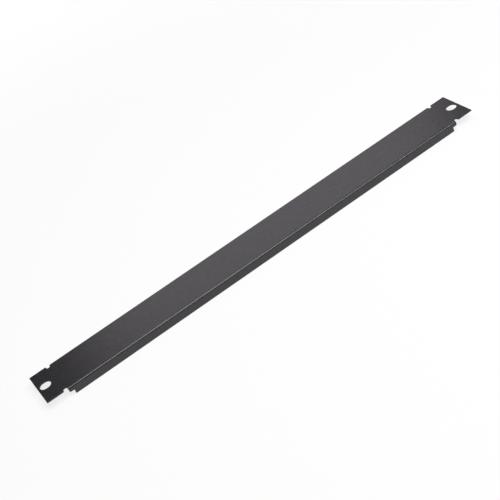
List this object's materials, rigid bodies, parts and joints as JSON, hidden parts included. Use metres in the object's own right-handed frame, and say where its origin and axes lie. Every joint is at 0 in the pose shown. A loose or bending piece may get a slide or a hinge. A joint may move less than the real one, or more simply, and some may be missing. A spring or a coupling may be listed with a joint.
{
  "type": "rack blanking panel",
  "caption": "Blanking panel for a 19-inch rack: a folded steel sheet with a flat face, long back flanges and a slotted ear at each end.",
  "frame": {"origin": "on the plane of the two flanges' free edges, under the middle of the face", "axes": "+X along the panel towards one ear, +Y across the panel, +Z out of the front of the face"},
  "size_m": [0.4826, 0.044, 0.0092],
  "materials": {
    "powder_coat": "satin black powder coat with a fine grain"
  },
  "bodies": {
    "root": {"panel": "powder_coat"}
  },
  "joints": []
}
